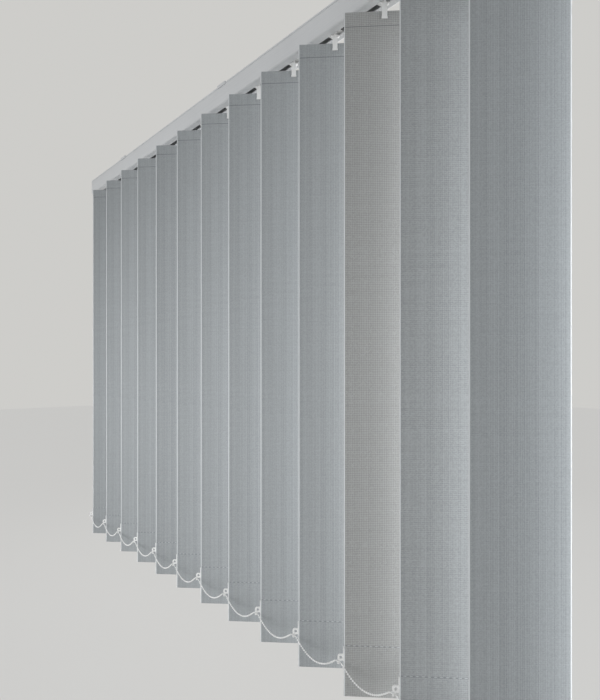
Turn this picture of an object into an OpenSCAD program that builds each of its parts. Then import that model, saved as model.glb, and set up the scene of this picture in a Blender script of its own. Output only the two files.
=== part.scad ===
// Vertical blind: a headrail on three wall brackets, with cloth slats on turning stems.
// Millimetres. X runs along the headrail, +Y faces the wall, +Z is up.
// The origin is on the wall, at the centre of the outer brackets' screw holes.

/* [Slats] */
// Width of a slat
slat_w = 127; // [89:1:127]
// Length of a slat from its top fold to its bottom fold
slat_drop = 1085; // [600:5:2400]
// Distance between neighbouring stems when the blind is drawn
slat_pitch = 112; // [96:1:116]
// Distance between neighbouring stems when the blind is stacked
stack_pitch = 34; // [33:0.5:36]
// Angle between the slats and the headrail as drawn
slat_angle = 46; // [20:1:90]
// Thickness of the cloth
cloth_t = 0.6; // [0.4:0.05:0.8]
// Height of the sewn top pocket
top_pocket_h = 23; // [22:0.5:32]
// Height of the stitched bottom pocket
bottom_pocket_h = 80; // [76:1:110]

/* [Hangers and weights] */
// Thickness of the hanger plate in the top pocket
hanger_t = 1.2; // [0.8:0.1:1.6]
// Height of the hanger plate
hanger_h = 15; // [12:0.5:15]
// How far the hanger stays in from each side edge of the slat
hanger_inset = 4; // [1:0.5:12]
// Thickness of the weight in the bottom pocket
weight_t = 1.4; // [1:0.1:1.8]
// Room left over the weight in the bottom pocket
weight_room = 14; // [14:1:24]
// Thickness of a chain clip
clip_t = 2.6; // [2:0.1:3]
// Height of a chain clip
clip_h = 10; // [9:0.5:13]
// How far a chain clip stands out from the side edge of the slat
clip_reach = 10.7; // [10.5:0.1:14]

/* [Bead chain] */
// Mean diameter of the bead chain
chain_d = 2.6; // [2:0.1:3]
// How far the chain sags between two clips
chain_sag = 22; // [8:1:26]

/* [Headrail] */
// Depth of the headrail from front to back
rail_w = 40; // [40:1:52]
// Height of the headrail
rail_h = 42; // [42:1:56]
// Wall thickness of the headrail
rail_wall = 1.4; // [1:0.1:1.8]
// Width of the slot for the stems
slot_w = 10; // [9:0.5:12]
// Radius of the rounded bottom edges
rail_edge_r = 4; // [2:0.5:5]
// Length of the headrail beyond the first and last stem
rail_over = 126; // [60:1:180]
// Height of the bead above the groove in the front and back faces
groove_drop = 3; // [2.5:0.1:5]
// Height of the groove
groove_h = 1.6; // [1.4:0.1:2.5]
// Depth of the groove
groove_deep = 0.7; // [0.5:0.05:0.8]

/* [Carriers] */
// Space between two stacked carriers
carrier_gap = 5; // [3:0.5:6]
// Diameter of the carrier wheels
wheel_d = 9; // [8:0.5:9.5]
// Width of the carrier wheels
wheel_w = 3.6; // [2.5:0.1:4]
// Width of a spacer strip
strip_w = 5; // [3:0.5:5.5]
// Thickness of a spacer strip
strip_t = 0.6; // [0.4:0.1:1]

/* [Stems and tilt rod] */
// Diameter of the stem's shaft in the carrier
stem_d = 6; // [5:0.5:6.5]
// Distance from the headrail's underside to the top of the slats
stem_drop = 14; // [12:0.5:24]
// Width of the wings under the slot
wing_w = 15; // [12:0.5:18]
// Width of the prongs
prong_w = 8.5; // [7:0.5:9]
// Thickness of each prong
prong_t = 1.4; // [1:0.1:1.6]
// Length of the prongs over the slat
prong_h = 13; // [11:0.5:14]
// Outer diameter of the worm wheel on the stem
gear_d = 10.4; // [9:0.2:10.6]
// Number of teeth on the worm wheel
gear_teeth = 12; // [8:1:14]
// Diameter of the fluted tilt rod
rod_d = 6; // [5:0.2:6.4]
// Outer diameter of the worm around the rod
worm_d = 9; // [8.6:0.1:9]

/* [Brackets and ends] */
// Distance from the wall to the line of the stems
wall_gap = 85; // [84:1:120]
// Distance of the outer brackets from the ends of the headrail
bracket_inset = 260; // [60:5:340]
// Width of a bracket
bracket_w = 30; // [20:1:50]
// Thickness of the bracket's sheet metal
bracket_t = 2; // [1.5:0.1:2.5]
// Height of the bracket's wall plate
plate_h = 46; // [36:1:70]
// Distance between the two screw holes of a bracket
hole_gap = 25; // [18:1:40]
// Diameter of the screw holes
hole_d = 5; // [4:0.1:6]
// Thickness of the end plates
cap_t = 3; // [2:0.1:5]
// Length of the control end's housing
control_l = 24; // [20:1:36]
// Diameter of the chain wheel
chain_wheel_d = 15; // [12:0.5:15]
// Width of the chain wheel
chain_wheel_w = 8; // [6:0.5:9]

/* [Hidden] */
slat_count = 13;
pad = 1;
eps = 0.01;
// Clearances: seats that only touch, cloth around its inserts, turning fits, sliding pieces, meshing pieces
seat_gap = 0.05;
pocket_gap = 0.1;
turn_gap = 0.05;
slide_gap = 0.4;
mesh_gap = 0.3;
chain_gap = 0.5;

// Heights, from the screw holes down
arm_under = -plate_h / 2 - bracket_t;
rail_top = arm_under - seat_gap;
rail_under = rail_top - rail_h;
rail_floor = rail_under + rail_wall;
slat_top = rail_under - stem_drop;
slat_bottom = slat_top - slat_drop;

// Places along and across the headrail
stem_y = -wall_gap;
first_x = -slat_pitch * (slat_count - 1) / 2;
rail_l = slat_pitch * (slat_count - 1) + 2 * rail_over;
bracket_x = rail_l / 2 - bracket_inset;
inner_w = rail_w - 2 * rail_wall;

// Carrier: a low block between the wheels and a wider head with the worm and the worm wheel
carrier_l = stack_pitch - carrier_gap;
wheel_out = inner_w / 2 - (rail_edge_r - rail_wall) - slide_gap / 2;
low_w = 2 * (wheel_out - wheel_w - slide_gap);
low_bottom = rail_floor + 1.6;
head_bottom = rail_floor + wheel_d + 1.2;
rod_y = gear_d / 2 + worm_d / 2 + mesh_gap;
head_front = 12;
head_rear = rod_y + worm_d / 2 + 1.6;
gear_h = 9;
gear_floor = head_bottom + 3;
rod_z = gear_floor + gear_h / 2;
head_top = gear_floor + gear_h + 2.5;
strip_z = head_top + slide_gap;
strip_lanes = 4;
strip_past = 4;
strip_back = carrier_l / 2 - 1.5;
rod_bore_d = rod_d + 2 * slide_gap;
journal_d = rod_d - 0.6;
worm_l = 14;
strip_foot_l = 7;
lip_t = 1.5;
wheel_room = chain_wheel_w + 2;
outlet_l = 6;
outlet_w = 14;
flutes = 3;
flute_d = 2;

// Slat thicknesses: half of each pocket, outside and inside
top_in = hanger_t / 2 + pocket_gap;
top_out = top_in + cloth_t;
low_in = weight_t / 2 + pocket_gap;
low_out = low_in + cloth_t;
fold_r = 0.5;
seam_run = 5;
weight_run = 8;
peg_w = 6;
peg_h = 3;
peg_drop = 8;
peg_z = slat_top - peg_drop;

// Chain clip: a plate with a round hole, and under it a headed pin that an eye of the chain turns on
weight_h = bottom_pocket_h - weight_room;
clip_top = slat_bottom + cloth_t + pocket_gap + weight_h;
clip_hole_d = 5;
clip_rim = 1.3;
clip_rim_h = weight_room - 2;
pin_d = 1.8;
pin_in = 1.7;
pin_root = 2.5;
pin_head_d = 3.8;
pin_head_h = 1.6;
pin_u = slat_w / 2 + clip_reach - pin_in;
span_x = pin_u * cos(slat_angle);
span_y = pin_u * sin(slat_angle);

// Chain: level at the eyes, and sagging between them
eye_gap = 0.3;
eye_wall = 1.3;
eye_d = pin_d + 2 * (eye_gap + eye_wall);
eye_h = chain_d + 0.4;
chain_z = clip_top - clip_h - chain_gap - chain_d / 2;
chain_level = eye_d / 2 + 0.6;
chain_l = slat_pitch - 2 * chain_level;
chain_steps = 6;
chain_sides = 8;
chain_bend = 5;

function two(i) = str(i < 10 ? "0" : "", i);
function stem_x(i) = first_x + slat_pitch * i;

white = [0.93, 0.93, 0.92];
cloth = [0.62, 0.63, 0.65];
steel = [0.75, 0.76, 0.77];

// Stands its children on the line of stem i, turned with the slat
module at_stem(i) {
    translate([stem_x(i), stem_y, 0])
        rotate([0, 0, slat_angle])
            children();
}

// Extrudes an outline of (Y, Z) along X, from x on
module along_x(x, length) {
    translate([x, 0, 0])
        rotate([90, 0, 90])
            linear_extrude(length)
                children();
}

// A box that is centred across and runs from z0 to z1
module block(size_x, size_y, z0, z1) {
    translate([-size_x / 2, -size_y / 2, z0])
        cube([size_x, size_y, z1 - z0]);
}

// The headrail's outside, as (Y, Z) from the stem line
module rail_outline() {
    translate([-rail_w / 2, rail_under + rail_edge_r])
        square([rail_w, rail_h - rail_edge_r]);
    translate([-rail_w / 2 + rail_edge_r, rail_under])
        square([rail_w - 2 * rail_edge_r, rail_h]);
    for (side = [-1, 1])
        translate([side * (rail_w / 2 - rail_edge_r), rail_under + rail_edge_r])
            circle(r = rail_edge_r, $fn = 48);
}

// The headrail's hollow, with a given play all round
module rail_hollow(play) {
    inner_r = rail_edge_r - rail_wall;
    half = inner_w / 2 - play;
    low = rail_floor + play;
    high = rail_top - rail_wall - play;
    translate([-half, low + inner_r])
        square([2 * half, high - low - inner_r]);
    translate([-half + inner_r, low])
        square([2 * (half - inner_r), high - low]);
    for (side = [-1, 1])
        translate([side * (half - inner_r), low + inner_r])
            circle(r = inner_r, $fn = 48);
}

module headrail() {
    color(white)
        translate([0, stem_y, 0])
            along_x(-rail_l / 2, rail_l)
                difference() {
                    rail_outline();
                    rail_hollow(0);
                    translate([-slot_w / 2, rail_under - pad])
                        square([slot_w, rail_wall + 2 * pad]);
                    for (side = [-1, 1])
                        translate([side * rail_w / 2 - groove_deep, rail_top - groove_drop - groove_h])
                            square([2 * groove_deep, groove_h]);
                }
}

module idle_end_cap() {
    plug_l = 12;
    color(white)
        translate([0, stem_y, 0])
            difference() {
                union() {
                    along_x(-rail_l / 2 - cap_t, cap_t)
                        rail_outline();
                    along_x(-rail_l / 2 - pad, plug_l + pad)
                        rail_hollow(pocket_gap);
                }
                translate([-rail_l / 2, rod_y, rod_z])
                    rotate([0, 90, 0])
                        cylinder(d = journal_d + 2 * turn_gap, h = plug_l + pad, $fn = 48);
            }
}

module control_end_cap() {
    plug_l = 10;
    bearing_l = control_l + plug_l - cap_t + pad;
    color(white)
        translate([rail_l / 2, stem_y, 0])
            difference() {
                union() {
                    along_x(0, control_l)
                        rail_outline();
                    along_x(-plug_l, plug_l + pad)
                        rail_hollow(pocket_gap);
                }
                // Chamber for the chain wheel, and the outlet below it
                translate([cap_t, rod_y, rod_z])
                    rotate([0, 90, 0])
                        cylinder(d = chain_wheel_d + 2, h = wheel_room, $fn = 64);
                translate([cap_t + wheel_room / 2, rod_y, 0])
                    block(outlet_l, outlet_w, rail_under - pad, rod_z);
                // Bearing of the rod's end
                translate([-plug_l - pad, rod_y, rod_z])
                    rotate([0, 90, 0])
                        cylinder(d = journal_d + 2 * turn_gap, h = bearing_l, $fn = 48);
            }
}

// The fluted rod, with a plain journal at each end
module tilt_rod() {
    flute_x0 = -rail_l / 2 + 14;
    flute_x1 = rail_l / 2 - 12;
    journal_x0 = -rail_l / 2 + 0.5;
    journal_x1 = rail_l / 2 + control_l - cap_t - 0.5;
    color(steel)
        translate([0, stem_y + rod_y, rod_z]) {
            along_x(flute_x0, flute_x1 - flute_x0)
                difference() {
                    circle(d = rod_d, $fn = 48);
                    for (k = [0 : flutes - 1])
                        rotate(k * 360 / flutes)
                            translate([rod_d / 2, 0])
                                circle(d = flute_d, $fn = 24);
                }
            translate([journal_x0, 0, 0])
                rotate([0, 90, 0])
                    cylinder(d = journal_d, h = flute_x0 - journal_x0 + pad, $fn = 48);
            translate([flute_x1 - pad, 0, 0])
                rotate([0, 90, 0])
                    cylinder(d = journal_d, h = journal_x1 - flute_x1 + pad, $fn = 48);
        }
}

// The wheel for the operating chain, with pockets for its beads
module chain_wheel() {
    pockets = 8;
    pocket_l = 4;
    color(white)
        translate([rail_l / 2 + cap_t + (wheel_room - chain_wheel_w) / 2, stem_y + rod_y, rod_z])
            rotate([0, 90, 0])
                difference() {
                    cylinder(d = chain_wheel_d, h = chain_wheel_w, $fn = 64);
                    translate([0, 0, -pad])
                        cylinder(d = journal_d + 2 * eps, h = chain_wheel_w + 2 * pad, $fn = 48);
                    for (k = [0 : pockets - 1])
                        rotate([0, 0, k * 360 / pockets])
                            translate([chain_wheel_d / 2, 0, (chain_wheel_w - pocket_l) / 2])
                                cylinder(d = 3.6, h = pocket_l, $fn = 32);
                }
}

// One folded bracket in side view: wall plate, arm, and a lip hooked in each groove of the headrail
module bracket_outline() {
    front = stem_y - rail_w / 2 - seat_gap;
    rear = stem_y + rail_w / 2 + seat_gap;
    lip_under = rail_top - groove_drop - groove_h + pocket_gap;
    toe_h = groove_h - 2 * pocket_gap;
    toe = groove_deep - pocket_gap;
    translate([-bracket_t, arm_under])
        square([bracket_t, plate_h + bracket_t]);
    translate([front - lip_t, arm_under])
        square([lip_t - front, bracket_t]);
    translate([front - lip_t, lip_under])
        square([lip_t, arm_under - lip_under + eps]);
    translate([front - lip_t, lip_under])
        square([lip_t + seat_gap + toe, toe_h]);
    translate([rear, lip_under])
        square([lip_t, arm_under - lip_under + eps]);
    translate([rear - seat_gap - toe, lip_under])
        square([lip_t + seat_gap + toe, toe_h]);
}

module brackets() {
    color(white)
        for (x = [-bracket_x, 0, bracket_x])
            difference() {
                along_x(x - bracket_w / 2, bracket_w)
                    bracket_outline();
                for (z = [-hole_gap / 2, hole_gap / 2])
                    translate([x, -bracket_t - pad, z])
                        rotate([-90, 0, 0])
                            cylinder(d = hole_d, h = bracket_t + 2 * pad, $fn = 32);
            }
}

// A carrier with its wheels, worm and spacer strip, seen from its stem
module carrier(i) {
    lane = i % strip_lanes;
    lane_y = -head_front + 0.5 + strip_w / 2 + lane * (strip_w + 0.8);
    axle_x = carrier_l / 2 - wheel_d / 2 - 0.5;
    axle_z = rail_floor + turn_gap + wheel_d / 2;
    color(white)
        translate([stem_x(i), stem_y, 0]) {
            difference() {
                union() {
                    block(carrier_l, low_w, low_bottom, head_bottom + pad);
                    translate([-carrier_l / 2, -head_front, head_bottom])
                        cube([carrier_l, head_front + head_rear, head_top - head_bottom]);
                    for (x = [-axle_x, axle_x], side = [-1, 1])
                        translate([x, side * wheel_out, axle_z])
                            rotate([side * 90, 0, 0])
                                wheel();
                }
                // Seat and bore of the stem
                translate([0, 0, gear_floor])
                    cylinder(d = gear_d + 2 * mesh_gap, h = head_top - gear_floor + pad, $fn = 64);
                translate([0, 0, low_bottom - pad])
                    cylinder(d = stem_d + 2 * turn_gap, h = gear_floor - low_bottom + 2 * pad, $fn = 48);
                // Room around the worm
                translate([-worm_l / 2, rod_y, rod_z])
                    rotate([0, 90, 0])
                        difference() {
                            cylinder(d = worm_d + 2 * mesh_gap, h = worm_l, $fn = 64);
                            translate([0, 0, -pad])
                                cylinder(d = worm_d, h = worm_l + 2 * pad, $fn = 64);
                        }
                translate([-carrier_l / 2 - pad, rod_y, rod_z])
                    rotate([0, 90, 0])
                        cylinder(d = rod_bore_d, h = carrier_l + 2 * pad, $fn = 48);
            }
            if (i < slat_count - 1) {
                translate([-strip_back, lane_y - strip_w / 2, strip_z])
                    cube([strip_back + slat_pitch + strip_past, strip_w, strip_t]);
                translate([-strip_back, lane_y - strip_w / 2, head_top - eps])
                    cube([strip_foot_l, strip_w, strip_z - head_top + strip_t]);
            }
        }
}

// A carrier wheel and its axle stub, from its outer face inwards
module wheel() {
    cylinder(d = wheel_d, h = wheel_w, $fn = 48);
    cylinder(d = 3, h = wheel_w + slide_gap + pad, $fn = 24);
}

// A stem with its worm wheel, wings, prongs and the hanger plate that it carries in the top pocket
module stem(i) {
    gear_z = gear_floor + seat_gap;
    wing_top = rail_under - 1;
    wing_low = rail_under - 5;
    grip_in = top_out + pocket_gap;
    grip_out = grip_in + prong_t;
    hanger_top = slat_top - cloth_t - pocket_gap;
    color(white)
        at_stem(i) {
            translate([0, 0, gear_z])
                linear_extrude(gear_h)
                    difference() {
                        circle(d = gear_d, $fn = 64);
                        for (k = [0 : gear_teeth - 1])
                            rotate((k + 0.5) * 360 / gear_teeth)
                                translate([gear_d / 2, 0])
                                    circle(d = 1.4, $fn = 16);
                    }
            translate([0, 0, wing_low])
                cylinder(d = stem_d, h = gear_z - wing_low + pad, $fn = 48);
            // Wings under the slot, narrowing to the neck
            translate([0, grip_out, 0])
                rotate([90, 0, 0])
                    linear_extrude(2 * grip_out)
                        polygon([
                            [-wing_w / 2, wing_top], [wing_w / 2, wing_top],
                            [wing_w / 2, wing_top - 1.5], [prong_w / 2, wing_low],
                            [prong_w / 2, slat_top + pocket_gap], [-prong_w / 2, slat_top + pocket_gap],
                            [-prong_w / 2, wing_low], [-wing_w / 2, wing_top - 1.5]
                        ]);
            // Prongs over both faces of the slat, with a wider foot
            for (side = [-1, 1])
                translate([0, side * (grip_in + prong_t / 2), 0]) {
                    block(prong_w, prong_t, slat_top - prong_h, slat_top + pocket_gap + eps);
                    block(prong_w + 1.2, prong_t, slat_top - prong_h, slat_top - prong_h + 3);
                }
            // Peg through the slat, and the hanger plate on it
            block(peg_w, 2 * grip_in + 2 * eps, peg_z - peg_h / 2, peg_z + peg_h / 2);
            block(slat_w - 2 * hanger_inset, hanger_t, hanger_top - hanger_h, hanger_top);
        }
}

// One face of a slat in side view, from its bottom fold to its top fold
function slat_side(side) = [
    [side * (low_out - fold_r), slat_bottom],
    [side * low_out, slat_bottom + fold_r],
    [side * low_out, slat_bottom + bottom_pocket_h - weight_run],
    [side * cloth_t / 2, slat_bottom + bottom_pocket_h + cloth_t],
    [side * cloth_t / 2, slat_top - top_pocket_h - cloth_t],
    [side * top_out, slat_top - top_pocket_h + seam_run],
    [side * top_out, slat_top - fold_r],
    [side * (top_out - fold_r), slat_top]
];

function reversed(list) = [for (k = [len(list) - 1 : -1 : 0]) list[k]];

module slat(i) {
    weight_floor = slat_bottom + cloth_t;
    hanger_roof = slat_top - cloth_t;
    color(cloth)
        at_stem(i)
            difference() {
                along_x(-slat_w / 2, slat_w)
                    difference() {
                        polygon(concat(slat_side(1), reversed(slat_side(-1))));
                        polygon([
                            [-low_in, weight_floor], [low_in, weight_floor],
                            [low_in, slat_bottom + bottom_pocket_h - weight_run],
                            [0, slat_bottom + bottom_pocket_h],
                            [-low_in, slat_bottom + bottom_pocket_h - weight_run]
                        ]);
                        polygon([
                            [-top_in, hanger_roof], [top_in, hanger_roof],
                            [top_in, slat_top - top_pocket_h + seam_run],
                            [0, slat_top - top_pocket_h],
                            [-top_in, slat_top - top_pocket_h + seam_run]
                        ]);
                    }
                block(
                    peg_w + 2 * chain_gap, 2 * top_out + 2 * pad,
                    slat_top - peg_drop - peg_h / 2 - chain_gap, slat_top - peg_drop + peg_h / 2 + chain_gap
                );
            }
}

// The weight in the bottom pocket, with a chain clip at each side
module weight(i) {
    color(white)
        at_stem(i) {
            block(slat_w + 2 * pad, weight_t, clip_top - weight_h, clip_top);
            for (side = [0, 1])
                mirror([side, 0, 0]) {
                    translate([slat_w / 2 + seat_gap, clip_t / 2, clip_top - clip_h])
                        rotate([90, 0, 0])
                            linear_extrude(clip_t)
                                clip_outline();
                    chain_pin();
                }
        }
}

// The pin under a clip, with the head that keeps the chain's eye on it
module chain_pin() {
    head_z = chain_z - eye_h / 2 - eye_gap - pin_head_h;
    translate([pin_u, 0, head_z]) {
        cylinder(d = pin_head_d, h = pin_head_h, $fn = 32);
        cylinder(d = pin_d, h = clip_top - clip_h + pin_root - head_z, $fn = 32);
    }
}

// A chain clip, from the corner where it meets the slat's edge, with a narrow rim up that edge
module clip_outline() {
    round_r = 4.2;
    reach = clip_reach - seat_gap;
    mid = reach - clip_reach / 2;
    difference() {
        union() {
            square([clip_rim, clip_h + clip_rim_h]);
            square([reach - round_r, clip_h]);
            translate([0, round_r])
                square([reach, clip_h - 2 * round_r]);
            for (z = [round_r, clip_h - round_r])
                translate([reach - round_r, z])
                    circle(r = round_r, $fn = 32);
        }
        translate([mid, clip_h / 2])
            circle(d = clip_hole_d, $fn = 32);
    }
}

// The chain's height below its eyes, a share s of the way along its sag:
// a parabola that is round at both ends
function sag_at(s) =
    let (
        x = min(s, 1 - s) * chain_l,
        bent = norm([x, chain_bend]) - chain_bend,
        most = norm([chain_l / 2, chain_bend]) - chain_bend,
        q = bent / most / 2
    )
    4 * chain_sag * q * (1 - q);

// A point of the chain on one side, by its distance from the first eye and its drop
function chain_point(side, x, drop) =
    [first_x + side * span_x + x, stem_y + side * span_y, chain_z - drop];

// Route of the chain on one side, from its first eye to its last
function chain_route(side) = [
    chain_point(side, 0, 0),
    for (i = [0 : slat_count - 2], k = [0 : chain_steps])
        let (s = k / chain_steps)
        chain_point(side, slat_pitch * i + chain_level + chain_l * s, sag_at(s)),
    chain_point(side, slat_pitch * (slat_count - 1), 0)
];

// Sweeps a plain tube along a route that lies in one upright plane along X
module tube(route, d, sides) {
    last = len(route) - 1;
    rings = [
        for (k = [0 : last])
            let (
                run = route[min(k + 1, last)] - route[max(k - 1, 0)],
                way = run / norm(run),
                up = [-way[2], 0, way[0]]
            )
            for (m = [0 : sides - 1])
                let (turn = 360 * (m + 0.5) / sides)
                route[k] + d / 2 * (cos(turn) * [0, 1, 0] + sin(turn) * up)
    ];
    skin = [
        for (k = [0 : last - 1], m = [0 : sides - 1])
            let (
                a = k * sides + m,
                b = k * sides + (m + 1) % sides
            )
            each [[a, b + sides, b], [a, a + sides, b + sides]]
    ];
    start = [for (m = [1 : sides - 2]) [0, m, m + 1]];
    end = [for (m = [1 : sides - 2]) [last * sides, last * sides + m + 1, last * sides + m]];
    polyhedron(points = rings, faces = concat(skin, start, end));
}

// Upright cylinders at the pins of one side
module at_pins(side, d, over) {
    for (i = [0 : slat_count - 1])
        translate(chain_point(side, slat_pitch * i, eye_h / 2 + over))
            cylinder(d = d, h = eye_h + 2 * over, $fn = 32);
}

// A chain: one tube for its beads, with an eye on each pin
module chain(side) {
    difference() {
        union() {
            tube(chain_route(side), chain_d, chain_sides);
            at_pins(side, eye_d, 0);
        }
        at_pins(side, pin_d + 2 * eye_gap, pad);
    }
}

module front_chain() {
    color(white)
        chain(-1);
}

module rear_chain() {
    color(white)
        chain(1);
}

headrail();
idle_end_cap();
control_end_cap();
tilt_rod();
chain_wheel();
brackets();
front_chain();
rear_chain();
for (i = [0 : slat_count - 1]) {
    carrier(i);
    stem(i);
    slat(i);
    weight(i);
}
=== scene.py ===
"""Vertical blind: cloth slats, bead chains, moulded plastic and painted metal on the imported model.
Lengths are in metres."""
import math

import bpy
import numpy as np
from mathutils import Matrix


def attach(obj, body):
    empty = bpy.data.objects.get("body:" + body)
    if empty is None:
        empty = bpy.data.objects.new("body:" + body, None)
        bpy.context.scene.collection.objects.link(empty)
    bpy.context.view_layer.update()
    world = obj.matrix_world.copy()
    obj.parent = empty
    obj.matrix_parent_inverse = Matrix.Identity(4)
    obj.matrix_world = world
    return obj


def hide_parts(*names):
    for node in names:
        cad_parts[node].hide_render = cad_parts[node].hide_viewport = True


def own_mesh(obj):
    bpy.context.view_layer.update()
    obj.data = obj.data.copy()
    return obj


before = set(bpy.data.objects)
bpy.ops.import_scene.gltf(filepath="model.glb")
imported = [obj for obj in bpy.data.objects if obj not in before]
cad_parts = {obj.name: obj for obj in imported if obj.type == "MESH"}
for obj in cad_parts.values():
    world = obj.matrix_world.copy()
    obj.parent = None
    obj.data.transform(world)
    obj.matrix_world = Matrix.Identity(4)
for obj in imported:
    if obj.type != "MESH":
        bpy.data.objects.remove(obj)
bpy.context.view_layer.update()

# Sizes that the part's source also has
SLATS = 13
SPANS = SLATS - 1
PITCH = 0.112
SLAT_W = 0.127
SLAT_TURN = math.radians(46)
STEM_Y = -0.085
FIRST_X = -PITCH * SPANS / 2
SLAT_TOP = -0.08105
SLAT_BOTTOM = SLAT_TOP - 1.085
TOP_POCKET = 0.023
BOTTOM_POCKET = 0.080
TOP_SEAM = SLAT_TOP - TOP_POCKET
LOW_SEAM = SLAT_BOTTOM + BOTTOM_POCKET
TOP_HALF = 0.0010
LOW_HALF = 0.0011
CLOTH_T = 0.0005
PEG_Z = SLAT_TOP - 0.008
PIN_U = SLAT_W / 2 + 0.0090
HELD_Z = SLAT_BOTTOM + 0.0549
SAG = 0.022

# Sizes of the scene's own chains: flat eyes over the chain's ends, and beads that shrink towards them
EYE_Z = HELD_Z + 0.001075
CHAIN_Z = HELD_Z - 0.0006
EYE_D = 0.0072
EYE_BORE = 0.0024
EYE_H = 0.00125
CHAIN_LEVEL = 0.0044
CHAIN_BEND = 0.003
ROUTE_STEPS = 64
BEAD_D = 0.0032
BEAD_GAP = 0.0041
END_BEAD_D = 0.0019
NEXT_BEAD_D = 0.0027
END_BEAD_AT = 0.0041
CORE_R = 0.0006
CORE_FROM = 0.00305

# Sizes of the scene's own cloth: layers, pale edges with a painted highlight, the hole for the stem's
# peg, and stitches
LAYER_GAP = 0.0001
# The pale edges' band and fade: the sealed edges' own pale colour plus a painted highlight where they
# catch the light
PALE_EDGE_HIGHLIGHT_BAND = 0.0012
PALE_EDGE_HIGHLIGHT_FADE = 0.0018
PEG_HOLE_HALF_W = 0.0035
PEG_HOLE_HALF_H = 0.002
BOW = 0.0007
WAVE = 0.00035
STITCHES = 14
STITCH_GAP = 0.0086
STITCH_L = 0.0052
THREAD_PITCH = 0.0014
TINY = 1e-9

# Slats that differ in the photograph: darker ones, and the share of warm, coarse yarn in others
DARKER_SLATS = (0, 4)
WARM_SLATS = {10: 1.0, 11: 0.2}

ALONG = np.array([math.cos(SLAT_TURN), math.sin(SLAT_TURN), 0.0])
ACROSS = np.array([-math.sin(SLAT_TURN), math.cos(SLAT_TURN), 0.0])


def two(i):
    return f"{i:02d}"


def stem_x(i):
    return FIRST_X + PITCH * i


# Meshes


def new_piece(name, points, faces, uv=None):
    """A mesh object from an array of points and lists of faces; uv is one pair for each point."""
    mesh = bpy.data.meshes.new(name)
    mesh.from_pydata(points.tolist(), [], faces)
    if uv is not None:
        layer = mesh.uv_layers.new(name="cloth_lay")
        corner = np.empty(len(mesh.loops), dtype=np.int32)
        mesh.loops.foreach_get("vertex_index", corner)
        layer.data.foreach_set("uv", uv[corner].astype(np.float32).ravel())
    mesh.polygons.foreach_set("use_smooth", np.ones(len(mesh.polygons), dtype=bool))
    mesh.update()
    piece = bpy.data.objects.new(name, mesh)
    bpy.context.scene.collection.objects.link(piece)
    return piece


def grid_faces(rows, columns, closed=False):
    """Quads of a grid of points, row after row; closed joins the last column to the first."""
    r, c = np.meshgrid(np.arange(rows - 1), np.arange(columns if closed else columns - 1), indexing="ij")
    a = r * columns + c
    b = r * columns + (c + 1) % columns
    return np.stack([a, b, b + columns, a + columns], axis=-1).reshape(-1, 4)


def copies(faces, starts):
    """Faces repeated for each copy of their points, which begins at the given point, as lists."""
    return (faces[None] + starts[:, None, None]).reshape(-1, faces.shape[1]).tolist()


def full_turn(count):
    """Evenly spaced angles around a ring of so many points."""
    return np.arange(count) * 2 * np.pi / count


def lengths_along(line):
    """Distance along a line from its start to each of its points."""
    run = np.linalg.norm(np.diff(line, axis=0), axis=1)
    return np.concatenate([[0], np.cumsum(run)])


# Camera


def blind_camera():
    """At the photograph's place: level, 40 degrees off the headrail's line, on the room side."""
    sensor, picture_px, focal_px = 36.0, 700, 545
    data = bpy.data.cameras.new("room_camera")
    camera = bpy.data.objects.new("room_camera", data)
    bpy.context.scene.collection.objects.link(camera)
    bpy.context.scene.camera = camera
    data.sensor_width = sensor
    data.lens = focal_px / picture_px * sensor
    data.shift_x = 3.0 / picture_px
    data.shift_y = 18.6 / picture_px
    data.clip_start = 0.02
    camera.location = (1.019, -0.7445, -0.646)
    camera.rotation_euler = (math.pi / 2, 0.0, math.radians(50))


blind_camera()


# Bead chains


def chain_route(side):
    """Points of one chain, from its first eye to its last. It is level at an eye. Between two eyes
    it drops by 4 * sag * q * (1 - q), where q grows from 0 to a half at mid-span as a hyperbola, so
    that both ends are round."""
    x = np.arange(ROUTE_STEPS * SPANS + 1) * PITCH / ROUTE_STEPS
    off = np.minimum(x % PITCH, PITCH - x % PITCH) - CHAIN_LEVEL
    bent = np.sqrt(np.maximum(off, 0) ** 2 + CHAIN_BEND**2) - CHAIN_BEND
    q = 0.5 * bent / (math.sqrt((PITCH / 2 - CHAIN_LEVEL) ** 2 + CHAIN_BEND**2) - CHAIN_BEND)
    route = np.empty((len(x), 3))
    route[:, 0] = FIRST_X + side * PIN_U * ALONG[0] + x
    route[:, 1] = STEM_Y + side * PIN_U * ALONG[1]
    route[:, 2] = CHAIN_Z - 4 * SAG * q * (1 - q)
    return route


def at_lengths(route, lengths):
    """Points and unit directions on a route at the given distances from its start. A direction is
    taken between two points a little behind and ahead."""
    far = lengths_along(route)
    near = 0.0008

    def on_route(at):
        return np.stack([np.interp(at, far, route[:, k]) for k in range(3)], axis=1)

    way = on_route(lengths + near) - on_route(lengths - near)
    return on_route(lengths), way / np.linalg.norm(way, axis=1, keepdims=True)


def ring_ways(way, turns):
    """Directions around a route that runs in an upright plane: cos a * sideways + sin a * upwards."""
    out = np.array([0.0, 1.0, 0.0])
    up = np.cross(way, out)
    return np.cos(turns)[:, None] * out + np.sin(turns)[:, None] * up[:, None, :]


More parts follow.
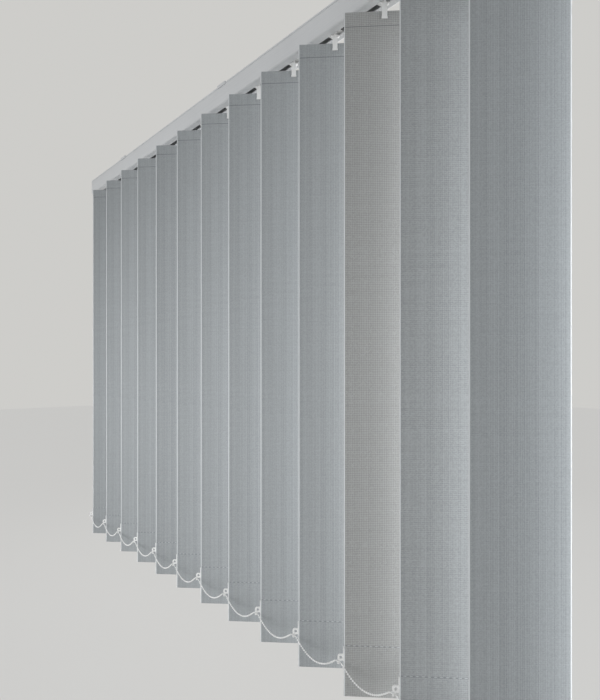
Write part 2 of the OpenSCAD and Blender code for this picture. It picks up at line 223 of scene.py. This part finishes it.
def chain_beads(place, way, size):
    """Balls of 6 bands and 8 sides: at angle t from a ball's front pole a ring of radius R * sin t
    stands R * cos t along the chain. Gives the points and the faces."""
    bands, sides = 6, 8
    polar = np.linspace(0, np.pi, bands + 1)[1:-1]
    ring = ring_ways(way, full_turn(sides))
    balls = (
        place[:, None, None, :]
        + np.cos(polar)[None, :, None, None] * (size * way)[:, None, None, :]
        + np.sin(polar)[None, :, None, None] * (size[:, None] * ring)[:, None, :, :]
    ).reshape(len(place), -1, 3)
    front = (place + size * way)[:, None, :]
    back = (place - size * way)[:, None, :]
    balls = np.concatenate([balls, front, back], axis=1)
    each = balls.shape[1]
    m = np.arange(sides)
    last = sides * (bands - 2)
    caps = np.concatenate([
        np.stack([m, (m + 1) % sides, np.full(sides, each - 2)], axis=1),
        np.stack([last + (m + 1) % sides, last + m, np.full(sides, each - 1)], axis=1),
    ])
    starts = np.arange(len(place)) * each
    quads = grid_faces(bands - 1, sides, closed=True)[:, ::-1]
    return balls.reshape(-1, 3), copies(quads, starts) + copies(caps, starts)


def bead_chain(name, side):
    """A chain as beads on a thin core, span by span, with two smaller beads at each end of a span. The
    core is a ring of six points carried along the route."""
    route = chain_route(side)
    total = lengths_along(route)[-1]
    span = total / SPANS
    starts = span * np.arange(SPANS)[:, None]
    each_span = int(round((span - 2 * END_BEAD_AT) / BEAD_GAP)) + 1
    size = np.full((SPANS, each_span), BEAD_D / 2)
    size[:, [0, -1]] = END_BEAD_D / 2
    size[:, [1, -2]] = NEXT_BEAD_D / 2
    middle = (starts + np.linspace(END_BEAD_AT, span - END_BEAD_AT, each_span)).ravel()
    place, way = at_lengths(route, middle)
    beads, faces = chain_beads(place, way, size.reshape(-1, 1))
    rows, sides = 2 * each_span, 6
    core_at = (starts + np.linspace(CORE_FROM, span - CORE_FROM, rows)).ravel()
    place, way = at_lengths(route, core_at)
    core = (place[:, None, :] + CORE_R * ring_ways(way, full_turn(sides))).reshape(-1, 3)
    first = len(beads) + np.arange(SPANS) * sides * rows
    ends = np.array([np.arange(sides)[::-1], sides * (rows - 1) + np.arange(sides)])
    faces += copies(grid_faces(rows, sides, closed=True), first) + copies(ends, first)
    return new_piece(name, np.vstack([beads, core]), faces), route, total


def chain_eyes(i):
    """The two chain eyes on one slat's pins, flat rings with the chain's ends under their rims. An eye
    is a section turned about its pin: at angle t the section stands at middle + half * sgn(cos t) *
    sqrt(abs(cos t)) outwards, and likewise with sin t upwards, an oblong with round corners."""
    around, section = 28, 16
    count = around * section
    t = full_turn(section) + np.pi / section
    turns = full_turn(around)
    middle, half = (EYE_D + EYE_BORE) / 4, (EYE_D - EYE_BORE) / 4
    away = middle + half * np.sign(np.cos(t)) * np.sqrt(np.abs(np.cos(t)))
    up = EYE_H / 2 * np.sign(np.sin(t)) * np.sqrt(np.abs(np.sin(t)))
    points = np.empty((2, around, section, 3))
    for ring, side in zip(points, (-1, 1)):
        centre = side * PIN_U * ALONG + np.array([stem_x(i), STEM_Y, EYE_Z])
        ring[..., 0] = centre[0] + away * np.cos(turns)[:, None]
        ring[..., 1] = centre[1] + away * np.sin(turns)[:, None]
        ring[..., 2] = centre[2] + up
    faces = grid_faces(around + 1, section, closed=True)[:, ::-1] % count
    polygons = copies(faces, np.arange(2) * count)
    return new_piece(f"chain_eyes_{two(i)}", points.reshape(-1, 3), polygons)


chains = []
for label, side in (("front", -1), ("rear", 1)):
    chain, route, total = bead_chain(f"{label}_bead_chain", side)
    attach(chain, f"{label}_chain_body")
    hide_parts(f"{label}_chain")
    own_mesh(chain)
    chains.append(chain)
eyes = [chain_eyes(i) for i in range(SLATS)]
for i, eye in enumerate(eyes):
    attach(eye, f"hung_slat_{two(i)}")


# Slats


def slat_side_view():
    """The folded cloth in side view, as (offset, height) of its middle line, and the row at the middle
    of its bottom fold. It starts at the back over the bottom seam, goes down the pocket and round the
    bottom fold as a half circle, up the front, round the top fold, and down the back to just under the
    top seam. A pocket opens from its seam over a short slope, eased at both ends."""
    behind = CLOTH_T + LAYER_GAP
    low_slope, top_slope = 0.008, 0.005
    low_c = SLAT_BOTTOM + LOW_HALF + CLOTH_T / 2
    top_c = SLAT_TOP - TOP_HALF - CLOTH_T / 2
    flat_top, flat_bottom = LOW_SEAM - 0.018, low_c + 0.004
    past_seam = 0.0010
    ease = np.linspace(0, 1, 7)
    ease = ease * ease * (3 - 2 * ease)
    turn = np.linspace(0, np.pi, 9)
    at_peg = np.array([-PEG_HOLE_HALF_H, PEG_HOLE_HALF_H])

    def course(offset, height):
        return np.stack(np.broadcast_arrays(offset, height), 1)

    down_back = [
        course(behind, LOW_SEAM + np.linspace(0.0045, 0.0005, 3)),
        course(behind + (LOW_HALF - behind) * ease, LOW_SEAM - low_slope * np.linspace(0.02, 1, 7)),
        course(LOW_HALF, np.linspace(flat_top, flat_bottom, 7)),
    ]
    rest = [
        course(LOW_HALF * np.cos(turn), low_c - LOW_HALF * np.sin(turn)),
        course(-LOW_HALF, np.linspace(flat_bottom, flat_top, 7)),
        course(-LOW_HALF * (1 - ease), LOW_SEAM - low_slope * np.linspace(1, 0.02, 7)),
        course(0.0, np.linspace(LOW_SEAM + past_seam, TOP_SEAM - past_seam, 46)),
        course(-TOP_HALF * ease, TOP_SEAM + top_slope * np.linspace(0.03, 1, 7)),
        course(-TOP_HALF, PEG_Z + at_peg),
        course(-TOP_HALF * np.cos(turn), top_c + TOP_HALF * np.sin(turn)),
        course(TOP_HALF, PEG_Z - at_peg),
        course(TOP_HALF - (TOP_HALF - behind) * ease, TOP_SEAM + top_slope * np.linspace(1, 0.03, 7)),
        course(behind, TOP_SEAM - np.array([past_seam, 0.0030])),
    ]
    fold_row = sum(len(part) for part in down_back) + len(turn) // 2
    return np.vstack(down_back + rest), fold_row


SIDE_VIEW, FOLD_ROW = slat_side_view()
CLOTH_RUN = lengths_along(SIDE_VIEW)


def run_at(height):
    """Length of cloth from its lower end to a height on the slat's front face."""
    after_fold = np.arange(len(SIDE_VIEW)) > FOLD_ROW
    front = np.flatnonzero(after_fold & (SIDE_VIEW[:, 0] <= TINY))
    return float(np.interp(height, SIDE_VIEW[front, 1], CLOTH_RUN[front]))


LOW_SEAM_RUN = run_at(LOW_SEAM)
TOP_SEAM_RUN = run_at(TOP_SEAM)


def in_room(i, u, n, z):
    """Points of slat i in the row frame: stem line + u along the slat + n across it, at height z."""
    base = np.array([stem_x(i), STEM_Y, 0.0])
    up = np.array([0.0, 0.0, 1.0])
    return base + u[..., None] * ALONG + n[..., None] * ACROSS + z[..., None] * up


def store_value(piece, name, value):
    """One number kept on every point of a piece, which its finish reads."""
    layer = piece.data.attributes.new(name, "FLOAT", "POINT")
    count = len(piece.data.vertices)
    layer.data.foreach_set("value", np.full(count, value, dtype=np.float32))


def slat_cloth(i):
    """A slat: its side view carried straight across its width. Between the pockets the cloth bows by a
    sine of the height times a parabola across, and its edges wave by a slow sine; both fade out at the
    seams. The top pocket has a hole on both faces for the stem's peg."""
    half = SLAT_W / 2
    rims = [-half + PALE_EDGE_HIGHLIGHT_BAND, -PEG_HOLE_HALF_W, PEG_HOLE_HALF_W, half - PALE_EDGE_HIGHLIGHT_BAND]
    u = np.sort(np.concatenate([np.linspace(-half, half, 19), rims]))
    n0, z0 = SIDE_VIEW[:, 0], SIDE_VIEW[:, 1]
    t = np.clip((z0 - LOW_SEAM) / (TOP_SEAM - LOW_SEAM), 0, 1)
    fade = np.sin(np.pi * t) ** 2 * (np.abs(n0) < TINY)
    across = 2 * u / SLAT_W
    phase = 1.7 * i
    bow = BOW * math.sin(2.3 * i + 0.4) * (1 - across**2)
    wave = WAVE * across**2 * np.sin(9.0 * t[:, None] + phase + 1.2 * across)
    uu, nn = np.meshgrid(u, n0)
    nn = nn + fade[:, None] * (bow[None, :] + wave)
    zz = np.repeat(z0[:, None], len(u), axis=1)
    points = in_room(i, uu, nn, zz).reshape(-1, 3)
    vv = np.repeat(CLOTH_RUN[:, None], len(u), axis=1)
    lay = np.stack([uu + half, vv], axis=-1).reshape(-1, 2)
    faces = grid_faces(len(z0), len(u))
    mid_u = uu.ravel()[faces].mean(axis=1)
    mid_z = zz.ravel()[faces].mean(axis=1)
    hole = (np.abs(mid_u) < PEG_HOLE_HALF_W) & (np.abs(mid_z - PEG_Z) < PEG_HOLE_HALF_H)
    piece = new_piece(f"cloth_slat_{two(i)}", points, faces[~hole].tolist(), lay)
    darker = 0.16 if i in DARKER_SLATS else 0.0
    store_value(piece, "slat_tone", 0.5 + 0.06 * math.sin(3.1 * i + 0.7) - darker)
    store_value(piece, "slat_warmth", WARM_SLATS.get(i, 0.0))
    thick = piece.modifiers.new("cloth_thickness", "SOLIDIFY")
    thick.thickness = CLOTH_T
    thick.offset = 0.0
    return piece


def pocket_stitches(i):
    """The bottom seam's stitches on both faces. A stitch is a flattened spindle: at share s of its
    length a ring of radius proportional to the root of sin(pi s), bowed a little out of the cloth."""
    rows, sides = 7, 6
    z = LOW_SEAM + 0.0004
    half_thick, half_high = 0.00022, 0.00048
    middle = (np.arange(STITCHES) - (STITCHES - 1) / 2) * STITCH_GAP
    s = np.linspace(0, 1, rows)
    turn = full_turn(sides)
    girth = np.sqrt(np.clip(np.sin(np.pi * s), 0.02, 1))
    bowed = 0.00006 + 0.00012 * np.sin(np.pi * s)[:, None]
    up = half_high * girth[:, None] * np.sin(turn)
    u = middle[:, None, None] + (s[None, :, None] - 0.5) * STITCH_L + 0 * turn
    points = []
    for sink, out in ((-CLOTH_T / 2, -1), (CLOTH_T * 1.5 + LAYER_GAP, 1)):
        n = sink + out * bowed + half_thick * girth[:, None] * np.cos(turn)
        block = in_room(i, u, np.broadcast_to(n, u.shape), z + np.broadcast_to(up, u.shape))
        points.append(block.reshape(-1, 3))
    quads = grid_faces(rows, sides, closed=True)
    ends = np.array([np.arange(sides)[::-1], sides * (rows - 1) + np.arange(sides)])
    polygons = []
    for starts in np.arange(2 * STITCHES).reshape(2, -1) * rows * sides:
        polygons += copies(quads, starts) + copies(ends, starts)
    return new_piece(f"pocket_stitches_{two(i)}", np.vstack(points), polygons)


slats, stitches = [], []
for i in range(SLATS):
    thread = pocket_stitches(i)
    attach(thread, f"hung_slat_{two(i)}")
    cloth = slat_cloth(i)
    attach(cloth, f"hung_slat_{two(i)}")
    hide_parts(f"slat_{two(i)}")
    slats.append(cloth)
    stitches.append(thread)


# Finishes


class Finish:
    """A material with short ways to add nodes; every pattern ends in its principled shader."""

    def __init__(self, name):
        self.material = bpy.data.materials.new(name)
        self.material.use_nodes = True
        self.tree = self.material.node_tree
        self.shader = self.tree.nodes["Principled BSDF"]

    def put(self, socket, value):
        if isinstance(value, bpy.types.NodeSocket):
            self.tree.links.new(value, socket)
        else:
            socket.default_value = value

    def set(self, **values):
        for name, value in values.items():
            self.put(self.shader.inputs[name.replace("_", " ")], value)

    def place(self, output="Object"):
        return self.tree.nodes.new("ShaderNodeTexCoord").outputs[output]

    def stretch(self, vector, scale):
        node = self.tree.nodes.new("ShaderNodeMapping")
        self.put(node.inputs["Vector"], vector)
        node.inputs["Scale"].default_value = scale
        return node.outputs["Vector"]

    def noise(self, vector, scale, detail=2.0, roughness=0.5):
        node = self.tree.nodes.new("ShaderNodeTexNoise")
        self.put(node.inputs["Vector"], vector)
        node.inputs["Scale"].default_value = scale
        node.inputs["Detail"].default_value = detail
        node.inputs["Roughness"].default_value = roughness
        return node.outputs["Fac"]

    def by_cell(self, place, per_metre):
        """One chance value from 0 to 1 for each cell: the place times cells per metre, rounded down."""
        scaled = self.stretch(place, per_metre)
        whole = self.tree.nodes.new("ShaderNodeVectorMath")
        whole.operation = "FLOOR"
        self.put(whole.inputs[0], scaled)
        chance = self.tree.nodes.new("ShaderNodeTexWhiteNoise")
        self.put(chance.inputs["Vector"], whole.outputs[0])
        return chance.outputs["Value"]

    def stored(self, name):
        """A number kept on the piece's points."""
        node = self.tree.nodes.new("ShaderNodeAttribute")
        node.attribute_name = name
        return node.outputs["Fac"]

    def math(self, kind, a, b=0.0, c=0.0, clamp=False):
        node = self.tree.nodes.new("ShaderNodeMath")
        node.operation = kind
        node.use_clamp = clamp
        for socket, value in zip(node.inputs, (a, b, c)):
            self.put(socket, value)
        return node.outputs["Value"]

    def spread(self, value, low, high, to_low, to_high):
        node = self.tree.nodes.new("ShaderNodeMapRange")
        for socket, x in zip(node.inputs, (value, low, high, to_low, to_high)):
            self.put(socket, x)
        return node.outputs["Result"]

    def mix(self, share, a, b):
        node = self.tree.nodes.new("ShaderNodeMix")
        node.data_type = "RGBA"
        for k, value in ((0, share), (6, a), (7, b)):
            self.put(node.inputs[k], value)
        return node.outputs[2]

    def bump(self, height, distance, strength=1.0):
        node = self.tree.nodes.new("ShaderNodeBump")
        node.inputs["Strength"].default_value = strength
        node.inputs["Distance"].default_value = distance
        self.put(node.inputs["Height"], height)
        self.put(self.shader.inputs["Normal"], node.outputs["Normal"])


def rgb(r, g, b):
    return (r, g, b, 1.0)


def slat_cloth_finish():
    """Plain weave on the cloth's own lay: warp shows where sin(pi u / p) * sin(pi v / p) is above 0,
    weft elsewhere, and a thread's height is the sine's size across it. Slubs run along both threads,
    the seams are dark and the side edges pale: pale sealed edges, with a painted highlight where they
    catch the light. Each yarn pattern has a share for plain slats and one that is added on warm ones."""
    f = Finish("grey_slat_cloth")
    split = f.tree.nodes.new("ShaderNodeSeparateXYZ")
    lay = f.place("UV")
    f.put(split.inputs[0], lay)
    u, v = split.outputs[0], split.outputs[1]
    per_metre = 1 / THREAD_PITCH
    su = f.math("SINE", f.math("MULTIPLY", u, math.pi / THREAD_PITCH))
    sv = f.math("SINE", f.math("MULTIPLY", v, math.pi / THREAD_PITCH))
    over = f.math("MULTIPLY_ADD", f.math("MULTIPLY", su, sv), 2.0, 0.5, clamp=True)
    warp = f.math("ABSOLUTE", su)
    weft = f.math("ABSOLUTE", sv)
    under = f.math("SUBTRACT", 1.0, over)
    height = f.math("ADD", f.math("MULTIPLY", warp, over), f.math("MULTIPLY", weft, under))
    slub_up = f.noise(f.stretch(lay, (330.0, 1.8, 1.0)), 1.0, 2.0, 0.6)
    slub_across = f.noise(f.stretch(lay, (11.0, 430.0, 1.0)), 1.0, 2.0, 0.6)
    crossing = f.math("SUBTRACT", f.by_cell(lay, (per_metre, per_metre, 0.0)), 0.5)
    warp_end = f.math("SUBTRACT", f.by_cell(lay, (per_metre, 0.0, 0.0)), 0.5)
    weft_row = f.math("SUBTRACT", f.by_cell(lay, (0.0, per_metre, 0.0)), 0.5)
    batch = f.stored("slat_warmth")
    cloudy = f.noise(f.stretch(lay, (9.0, 3.0, 1.0)), 1.0, 2.0)
    level = f.math("MULTIPLY_ADD", slub_up, 0.50, -0.25)
    level = f.math("ADD", level, f.math("MULTIPLY_ADD", slub_across, 0.16, -0.08))
    yarns = (
        (crossing, 0.34, 0.85), (warp_end, 0.30, 0.25), (weft_row, 0.08, 0.42),
        (su, 0.10, 0.35), (sv, 0.03, 0.48),
    )
    for yarn, plain, heather in yarns:
        share = f.math("MULTIPLY_ADD", batch, heather, plain)
        level = f.math("ADD", level, f.math("MULTIPLY", yarn, share))
    level = f.math("ADD", level, f.math("MULTIPLY_ADD", cloudy, 0.10, -0.05))
    level = f.math("ADD", level, f.math("MULTIPLY_ADD", height, 0.36, -0.26))
    level = f.math("ADD", level, f.stored("slat_tone"), clamp=True)
    cloth = f.mix(level, rgb(0.270, 0.290, 0.303), rgb(0.450, 0.478, 0.495))
    weft_share = f.math("MULTIPLY_ADD", batch, 0.75, 0.25)
    warm = f.mix(f.math("MULTIPLY", under, weft_share), cloth, rgb(0.392, 0.376, 0.350))
    seam = f.math("ABSOLUTE", f.math("SUBTRACT", v, TOP_SEAM_RUN))
    seam = f.spread(seam, 0.0003, 0.0013, 0.60, 0.0)
    hem = f.math("ABSOLUTE", f.math("SUBTRACT", v, LOW_SEAM_RUN))
    hem = f.spread(hem, 0.0004, 0.0013, 0.48, 0.0)
    sewn = f.mix(f.math("MAXIMUM", seam, hem), warm, rgb(0.135, 0.145, 0.155))
    # Side edges: pale sealed edges, made brighter by a painted highlight where they catch the light
    from_middle = f.math("ABSOLUTE", f.math("SUBTRACT", u, SLAT_W / 2))
    pale_edge_highlight = f.math("SUBTRACT", SLAT_W / 2, from_middle)
    pale_edge_highlight = f.spread(pale_edge_highlight, PALE_EDGE_HIGHLIGHT_BAND, PALE_EDGE_HIGHLIGHT_FADE, 1.0, 0.0)
    f.set(
        Base_Color=f.mix(pale_edge_highlight, sewn, rgb(0.71, 0.730, 0.740)),
        Roughness=f.spread(height, 0.0, 1.0, 0.92, 0.74),
    )
    f.set(Sheen_Weight=0.12, Sheen_Roughness=0.45, Specular_IOR_Level=0.35)
    fuzz = f.noise(f.stretch(lay, (2600.0, 2600.0, 1.0)), 1.0, 2.0)
    rough = f.math("ADD", height, f.math("MULTIPLY", f.math("ADD", slub_up, slub_across), 0.55))
    f.bump(f.math("MULTIPLY_ADD", fuzz, 0.25, rough), 0.00016, 0.6)
    return f.material


def seam_thread_finish():
    """Twisted sewing thread: light and dark plies as a sine of a fine noise."""
    f = Finish("grey_seam_thread")
    at = f.place()
    fine = f.noise(f.stretch(at, (900.0, 900.0, 1400.0)), 1.0, 1.0)
    ply = f.math("SINE", f.math("MULTIPLY", fine, 14.0))
    shade = f.spread(ply, -1.0, 1.0, 0.0, 1.0)
    f.set(
        Base_Color=f.mix(shade, rgb(0.46, 0.485, 0.50), rgb(0.66, 0.685, 0.70)),
        Roughness=f.spread(ply, -1.0, 1.0, 0.62, 0.5),
    )
    f.set(Sheen_Weight=0.2)
    f.bump(ply, 0.00006, 0.6)
    return f.material


def moulded_white_finish(name, bright, dull, gloss):
    """Moulded plastic: faint clouds in the colour, a fine grain in the surface and uneven gloss."""
    f = Finish(name)
    at = f.place()
    cloud = f.noise(at, 55.0, 4.0, 0.55)
    grain = f.noise(at, 2600.0, 2.0)
    smear = f.noise(f.stretch(at, (180.0, 180.0, 40.0)), 1.0, 3.0)
    f.set(
        Base_Color=f.mix(f.spread(cloud, 0.3, 0.7, 0.0, 1.0), dull, bright),
        Roughness=f.spread(smear, 0.25, 0.75, gloss - 0.08, gloss + 0.10),
    )
    f.set(Specular_IOR_Level=0.45)
    f.bump(f.math("MULTIPLY_ADD", cloud, 0.6, grain), 0.00003, 0.5)
    return f.material


def rail_paint_finish():
    """Satin paint on drawn aluminium: drawing lines stretched along the headrail, a fine orange peel
    and faint clouds."""
    f = Finish("satin_rail_paint")
    at = f.place()
    drawn = f.noise(f.stretch(at, (2.0, 520.0, 520.0)), 1.0, 3.0, 0.6)
    peel = f.noise(at, 900.0, 2.0)
    cloud = f.noise(at, 14.0, 3.0)
    mixed = f.math("MULTIPLY_ADD", drawn, 0.55, f.math("MULTIPLY", cloud, 0.45))
    shade = f.spread(mixed, 0.3, 0.7, 0.0, 1.0)
    f.set(
        Base_Color=f.mix(shade, rgb(0.615, 0.625, 0.635), rgb(0.690, 0.698, 0.705)),
        Roughness=f.spread(mixed, 0.3, 0.7, 0.34, 0.48),
    )
    f.set(Specular_IOR_Level=0.5)
    f.bump(f.math("MULTIPLY_ADD", drawn, 0.5, peel), 0.00004, 0.5)
    return f.material


def drawn_rod_finish():
    """Drawn metal: bright lines along the rod, with dull patches that change its gloss."""
    f = Finish("drawn_rod_metal")
    at = f.place()
    drawn = f.noise(f.stretch(at, (3.0, 1600.0, 1600.0)), 1.0, 3.0, 0.6)
    patch = f.noise(at, 40.0, 3.0)
    f.set(
        Base_Color=f.mix(drawn, rgb(0.50, 0.51, 0.52), rgb(0.76, 0.77, 0.78)),
        Roughness=f.spread(f.math("ADD", drawn, patch), 0.6, 1.4, 0.28, 0.5),
    )
    f.set(Metallic=1.0)
    f.bump(drawn, 0.00003, 0.5)
    return f.material


def dress(piece, material):
    """Puts a finish on every slot of a piece, or gives it its first slot."""
    if not piece.material_slots:
        piece.data.materials.append(material)
    for place in piece.material_slots:
        place.material = material


cloth_finish = slat_cloth_finish()
thread_finish = seam_thread_finish()
clip_white = moulded_white_finish(
    "moulded_white", bright=rgb(0.87, 0.87, 0.86), dull=rgb(0.80, 0.80, 0.79), gloss=0.36,
)
bead_white = moulded_white_finish(
    "bead_white", bright=rgb(0.90, 0.90, 0.89), dull=rgb(0.84, 0.84, 0.83), gloss=0.30,
)
cap_white = moulded_white_finish(
    "end_cap_white", bright=rgb(0.76, 0.765, 0.765), dull=rgb(0.69, 0.695, 0.695), gloss=0.42,
)
rail_paint = rail_paint_finish()
rod_metal = drawn_rod_finish()

for cloth in slats:
    dress(cloth, cloth_finish)
for thread in stitches:
    dress(thread, thread_finish)
for chain in chains:
    dress(chain, bead_white)
for eye in eyes:
    dress(eye, bead_white)
for name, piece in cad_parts.items():
    if name in ("headrail", "brackets"):
        dress(piece, rail_paint)
    elif name in ("idle_end_cap", "control_end_cap"):
        dress(piece, cap_white)
    elif name == "tilt_rod":
        dress(piece, rod_metal)
    else:
        dress(piece, clip_white)


# Floor, surroundings and soft light


def seen_rays(tree):
    """1 for the rays that show a background: from the camera, and by way of glossy or clear pieces."""
    path = tree.nodes.new("ShaderNodeLightPath")
    seen = path.outputs["Is Camera Ray"]
    for kind in ("Is Glossy Ray", "Is Transmission Ray"):
        larger = tree.nodes.new("ShaderNodeMath")
        larger.operation = "MAXIMUM"
        tree.links.new(seen, larger.inputs[0])
        tree.links.new(path.outputs[kind], larger.inputs[1])
        seen = larger.outputs[0]
    return seen


def pale_floor():
    """A flat square under the blind, with the faintest clouding. Where it is seen, most of it is a
    plain glow near the surroundings' colour, which leaves the shadows faint."""
    half, z = 9.0, -1.32
    corners = np.array([[-half, -half, z], [half, -half, z], [half, half, z], [-half, half, z]])
    floor = new_piece("pale_floor", corners, [[0, 1, 2, 3]])
    f = Finish("pale_floor_paint")
    cloud = f.noise(f.place(), 1.5, 2.0)
    f.set(Base_Color=f.mix(cloud, rgb(0.66, 0.655, 0.635), rgb(0.69, 0.685, 0.665)), Roughness=0.9)
    glow = f.tree.nodes.new("ShaderNodeEmission")
    glow.inputs["Color"].default_value = rgb(0.645, 0.64, 0.625)
    both = f.tree.nodes.new("ShaderNodeMixShader")
    f.put(both.inputs[0], f.math("MULTIPLY", seen_rays(f.tree), 0.72))
    f.put(both.inputs[1], f.shader.outputs[0])
    f.put(both.inputs[2], glow.outputs[0])
    f.put(f.tree.nodes["Material Output"].inputs["Surface"], both.outputs[0])
    dress(floor, f.material)


def pale_room():
    """The surroundings show as a pale wall and give an even, weaker light."""
    world = bpy.data.worlds.new("pale_room")
    bpy.context.scene.world = world
    world.use_nodes = True
    tree = world.node_tree
    tree.nodes.clear()
    out = tree.nodes.new("ShaderNodeOutputWorld")
    mix = tree.nodes.new("ShaderNodeMixShader")
    light = tree.nodes.new("ShaderNodeBackground")
    shown = tree.nodes.new("ShaderNodeBackground")
    light.inputs["Color"].default_value = rgb(0.97, 0.985, 1.0)
    light.inputs["Strength"].default_value = 0.585
    shown.inputs["Color"].default_value = rgb(0.615, 0.61, 0.59)
    shown.inputs["Strength"].default_value = 1.0
    link = tree.links.new
    link(seen_rays(tree), mix.inputs[0])
    link(light.outputs[0], mix.inputs[1])
    link(shown.outputs[0], mix.inputs[2])
    link(mix.outputs[0], out.inputs["Surface"])


def soft_lamp(name, place, aim, size, watts, colour, spread):
    """A large oblong lamp that faces a point; spread is the width of its cone, in degrees."""
    data = bpy.data.lights.new(name, "AREA")
    data.shape = "RECTANGLE"
    data.size, data.size_y = size
    data.energy = watts
    data.color = colour
    data.spread = math.radians(spread)
    lamp = bpy.data.objects.new(name, data)
    bpy.context.scene.collection.objects.link(lamp)
    lamp.location = place
    lamp.visible_camera = False
    way = np.array(aim) - np.array(place)
    tip = math.atan2(math.hypot(way[0], way[1]), -way[2])
    lamp.rotation_euler = (tip, 0.0, math.atan2(way[1], way[0]) - math.pi / 2)


def lamp_flag():
    """Two cards in the window lamp's beam. One hangs where one more slat would, shades the last slat as
    a neighbour would and glows a little, as cloth with light behind it does; it is wider than a slat.
    One keeps the beam off the headrail's end."""
    wider = 0.052
    across = np.array([-SLAT_W / 2, SLAT_W / 2 + wider])
    u, z = np.meshgrid(across, np.array([SLAT_BOTTOM, SLAT_TOP]))
    beside = in_room(SLATS, u, 0 * u, z).reshape(-1, 3)
    card_x, card_y, card_z = 1.5, (-0.5, 0.9), (-0.26, -0.08)
    y, z = np.meshgrid(np.array(card_y), np.array(card_z))
    above = np.stack([np.full(4, card_x), y.ravel(), z.ravel()], axis=1)
    card = new_piece("lamp_flag", np.vstack([beside, above]), [[0, 1, 3, 2], [4, 5, 7, 6]])
    f = Finish("lamp_flag_card")
    f.set(Base_Color=rgb(0.58, 0.60, 0.62), Roughness=0.9)
    f.set(Emission_Color=rgb(0.95, 0.98, 1.0), Emission_Strength=0.26)
    dress(card, f.material)
    card.visible_camera = card.visible_glossy = card.visible_transmission = False


pale_floor()
pale_room()
soft_lamp(
    "window_side_lamp", place=(4.4, 1.05, -0.82), aim=(0.0, -0.085, -0.76), size=(1.7, 0.5),
    watts=17.5, colour=(0.97, 0.985, 1.0), spread=36,
)
soft_lamp(
    "room_side_lamp", place=(-0.34, -2.0, -0.80), aim=(-0.34, -0.08, -0.78), size=(1.6, 0.6),
    watts=4.2, colour=(0.985, 0.99, 1.0), spread=62,
)
soft_lamp(
    "wall_side_lamp", place=(-1.3, 2.4, -0.4), aim=(-0.1, -0.08, -0.65), size=(1.6, 1.2),
    watts=9.0, colour=(0.99, 0.992, 1.0), spread=80,
)
lamp_flag()

scene = bpy.context.scene
scene.view_settings.view_transform = "Standard"
